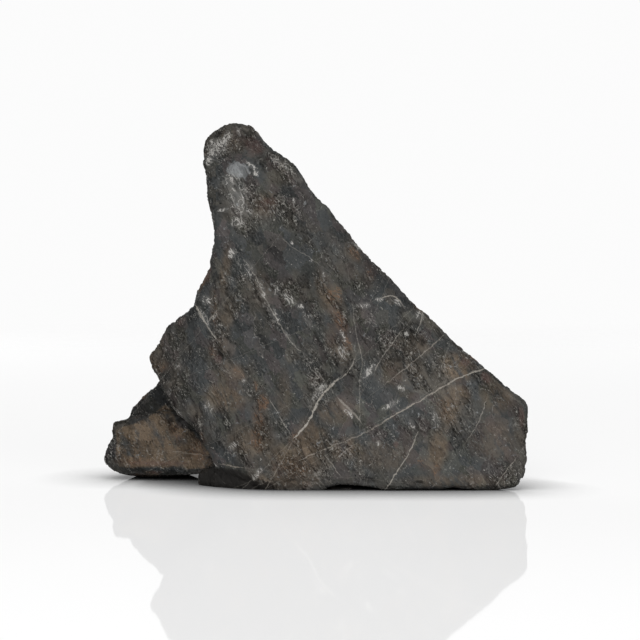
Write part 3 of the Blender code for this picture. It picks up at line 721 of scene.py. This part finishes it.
def addHairlines(tree, colour, place, bent, grit):
    # a few hairline cracks filled with quartz
    cellPlace = streakPlace(tree, bent, 1.6)
    cells = addNode(tree, "ShaderNodeTexVoronoi", {"Vector": cellPlace}, feature="DISTANCE_TO_EDGE")
    cells.inputs["Scale"].default_value = 1.0 / (finish["crackCells"] * mm)
    line = ramp(tree, cells.outputs["Distance"], 0.02, 0.0)
    shown = ramp(tree, grainNoise(tree, place, 9.0, 2.0), 0.56, 0.64)
    hairs = maths(tree, "MULTIPLY", maths(tree, "MULTIPLY", line, shown), ramp(tree, grit, 0.4, 0.55))
    return mixColour(tree, maths(tree, "MULTIPLY", hairs, 0.45), colour, finish["fleckAndHighlight"])


def addVeins(tree, colour, place):
    wobble = maths(tree, "MULTIPLY_ADD", grainNoise(tree, place, 4.0, 4.0, 0.7), 2.4, -1.2)
    breaks = ramp(tree, grainNoise(tree, place, 2.2, 4.0, 0.7), 0.32, 0.54, 0.15, 1.2)
    strength, warm = 0.0, 0.0
    for wide, bright, warmth, points in veins:
        mask = veinMask(tree, place, wobble, breaks, wide, bright, points)
        warm = maths(tree, "MAXIMUM", warm, maths(tree, "MULTIPLY", mask, warmth))
        strength = maths(tree, "MAXIMUM", strength, mask)
    veinColour = mixColour(tree, warm, finish["vein"], finish["veinWarm"])
    return mixColour(tree, strength, colour, veinColour)


def makeStoneFinish():
    material = bpy.data.materials.new("darkVeinedStone")
    material.use_nodes = True
    tree = material.node_tree
    shader = tree.nodes["Principled BSDF"]
    place = addNode(tree, "ShaderNodeTexCoord", {}).outputs["Object"]
    rough, hollowShade = attribute(tree, "rough"), attribute(tree, "hollowShade")
    streaky = streakPlace(tree, place, 3.0)
    bent, hardlyBent = warped(tree, place)
    facet = facetShades(tree, bent)
    grit = grainNoise(tree, streakPlace(tree, place, 2.0), finish["gritSize"], 3.0, 0.65)
    clusters = ramp(tree, grainNoise(tree, streaky, 5.0, 3.0, 0.6), 0.44, 0.60)
    broken = maths(tree, "MULTIPLY", clusters, maths(tree, "MULTIPLY_ADD", rough, 0.85, 0.15))
    coarse, fine, edge, footShade = brokenPlates(tree, place, streaky)

    colour = groundColour(tree, place, bent, streaky, rough, facet)
    colour = shadeBreak(tree, colour, bent, hollowShade, broken, grit, facet[2], edge, footShade)
    colour = addStains(tree, colour, hardlyBent)
    colour = addHairlines(tree, colour, place, bent, grit)
    colour = addVeins(tree, colour, place)
    tree.links.new(colour, shader.inputs["Base Color"])

    gloss = maths(tree, "MULTIPLY_ADD", rough, 0.16, maths(tree, "MULTIPLY_ADD", grit, 0.2, 0.5))
    tree.links.new(gloss, shader.inputs["Roughness"])
    shader.inputs["Specular IOR Level"].default_value = finish["specular"]

    # what is finer than the mesh: the plates and the grit
    relief = maths(tree, "MULTIPLY_ADD", fine, 0.5, coarse)
    relief = maths(tree, "MULTIPLY", relief, maths(tree, "MULTIPLY_ADD", broken, 0.85, 0.15))
    relief = maths(tree, "MULTIPLY_ADD", grit, maths(tree, "MULTIPLY_ADD", broken, 0.28, 0.13), relief)
    bump = addNode(tree, "ShaderNodeBump", {"Height": relief, "Distance": finish["bumpDepth"]})
    bump.inputs["Strength"].default_value = 1.0
    tree.links.new(bump.outputs[0], shader.inputs["Normal"])
    print("finish:", len(tree.nodes), "nodes")
    return material


stone = buildStone()
stone.data.materials.clear()
stone.data.materials.append(makeStoneFinish())
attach(stone, "root")
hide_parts("rock")


# the studio: a pale floor that mirrors a little, white all round, soft lights in front, above and behind

studio = {
    "white": 0.970,                # of the surroundings, as the camera sees them
    "floorRadius": 1.60,           # m
    "floorFade": 0.75,             # m, from here the floor fades into the surroundings
    "floorWhite": 0.30,
    "floorGlow": 0.79,
    "mirror": 0.19,                # share of the floor's look that is a mirror image
    "mirrorBlur": 0.03,
    "shadowReach": 0.036,          # m, how far off the stone the painted contact shadow still dims the floor
    "shadowDepth": 2.3,
    "middle": (0.0, 0.0, 0.07),    # m, the lights point here
    "bounce": {"name": "bounce", "place": (0.0, -0.2, 0.0008), "wide": 1.2, "power": 2.2},
    "lights": [                    # place and width in metres, power in watts, as for the bounce
        {"name": "key", "place": (-0.35, -1.40, 0.60), "wide": 0.6, "power": 15.0},
        {"name": "fill", "place": (0.85, -1.25, 0.45), "wide": 0.8, "power": 8.5},
        {"name": "top", "place": (0.0, -0.35, 1.60), "wide": 1.0, "power": 2.0},
        {"name": "backLeft", "place": (-0.9, 1.20, 0.45), "wide": 0.8, "power": 9.0},
        {"name": "backRight", "place": (1.0, 1.10, 0.35), "wide": 0.8, "power": 8.0},
    ],
}


def addFloor():
    deselectAll()
    bpy.ops.mesh.primitive_circle_add(vertices=96, radius=studio["floorRadius"], fill_type="NGON")
    floor = bpy.context.object
    floor.name = "floor"
    material = bpy.data.materials.new("paleFloor")
    material.use_nodes = True
    tree = material.node_tree
    tree.nodes.remove(tree.nodes["Principled BSDF"])
    # painted contact shadow: ambient occlusion dims the floor's glow and its paleness near the stone
    reach = {"Distance": studio["shadowReach"]}
    paintedShadowFactor = addNode(tree, "ShaderNodeAmbientOcclusion", reach, samples=8).outputs["AO"]
    paintedShadowFactor = maths(tree, "POWER", paintedShadowFactor, studio["shadowDepth"])
    glowing = maths(tree, "MULTIPLY", paintedShadowFactor, studio["floorGlow"])
    paleness = maths(tree, "MULTIPLY", paintedShadowFactor, studio["floorWhite"])
    grey = addNode(tree, "ShaderNodeCombineColor", {0: paleness, 1: paleness, 2: paleness}).outputs[0]
    matt = addNode(tree, "ShaderNodeBsdfDiffuse", {"Color": grey})
    glow = addNode(tree, "ShaderNodeEmission", {"Strength": glowing})
    lit = addNode(tree, "ShaderNodeAddShader", {0: matt.outputs[0], 1: glow.outputs[0]})
    gloss = addNode(tree, "ShaderNodeBsdfGlossy", {"Roughness": studio["mirrorBlur"]})
    gloss.inputs["Color"].default_value = (1.0, 1.0, 1.0, 1.0)
    layers = {0: studio["mirror"], 1: lit.outputs[0], 2: gloss.outputs[0]}
    both = addNode(tree, "ShaderNodeMixShader", layers)
    place = addNode(tree, "ShaderNodeTexCoord", {}).outputs["Object"]
    far = addNode(tree, "ShaderNodeVectorMath", {0: place}, operation="LENGTH").outputs["Value"]
    clear = addNode(tree, "ShaderNodeBsdfTransparent", {})
    gone = ramp(tree, far, studio["floorFade"], studio["floorRadius"])
    shown = addNode(tree, "ShaderNodeMixShader", {0: gone, 1: both.outputs[0], 2: clear.outputs[0]})
    tree.links.new(shown.outputs[0], tree.nodes["Material Output"].inputs["Surface"])
    floor.data.materials.append(material)
    floor.visible_diffuse = False


def addLamp(name, place, wide, power, mirrored):
    data = bpy.data.lights.new(name, "AREA")
    data.size = wide
    data.energy = power
    lamp = bpy.data.objects.new(name, data)
    lamp.location = place
    lamp.visible_camera = False
    lamp.visible_glossy = mirrored
    bpy.context.scene.collection.objects.link(lamp)
    return lamp


def addLights():
    for light in studio["lights"]:
        inFront = light["place"][1] < 0.0      # the floor would mirror a back light as a white square
        lamp = addLamp(**light, mirrored=inFront)
        aim = Vector(studio["middle"]) - lamp.location
        lamp.rotation_euler = aim.to_track_quat("-Z", "Y").to_euler()
    # the floor's own light on the stone comes from one broad lamp that lies on it and faces up
    bounce = addLamp(**studio["bounce"], mirrored=False)
    bounce.rotation_euler = (math.pi, 0.0, 0.0)


def addSurroundings():
    world = bpy.data.worlds.new("surroundings")
    world.use_nodes = True
    white = studio["white"]
    world.node_tree.nodes["Background"].inputs["Color"].default_value = (white, white, white, 1.0)
    world.cycles_visibility.diffuse = False
    bpy.context.scene.world = world
    bpy.context.scene.view_settings.view_transform = "Standard"


addFloor()
addLights()
addSurroundings()
print("studio set")
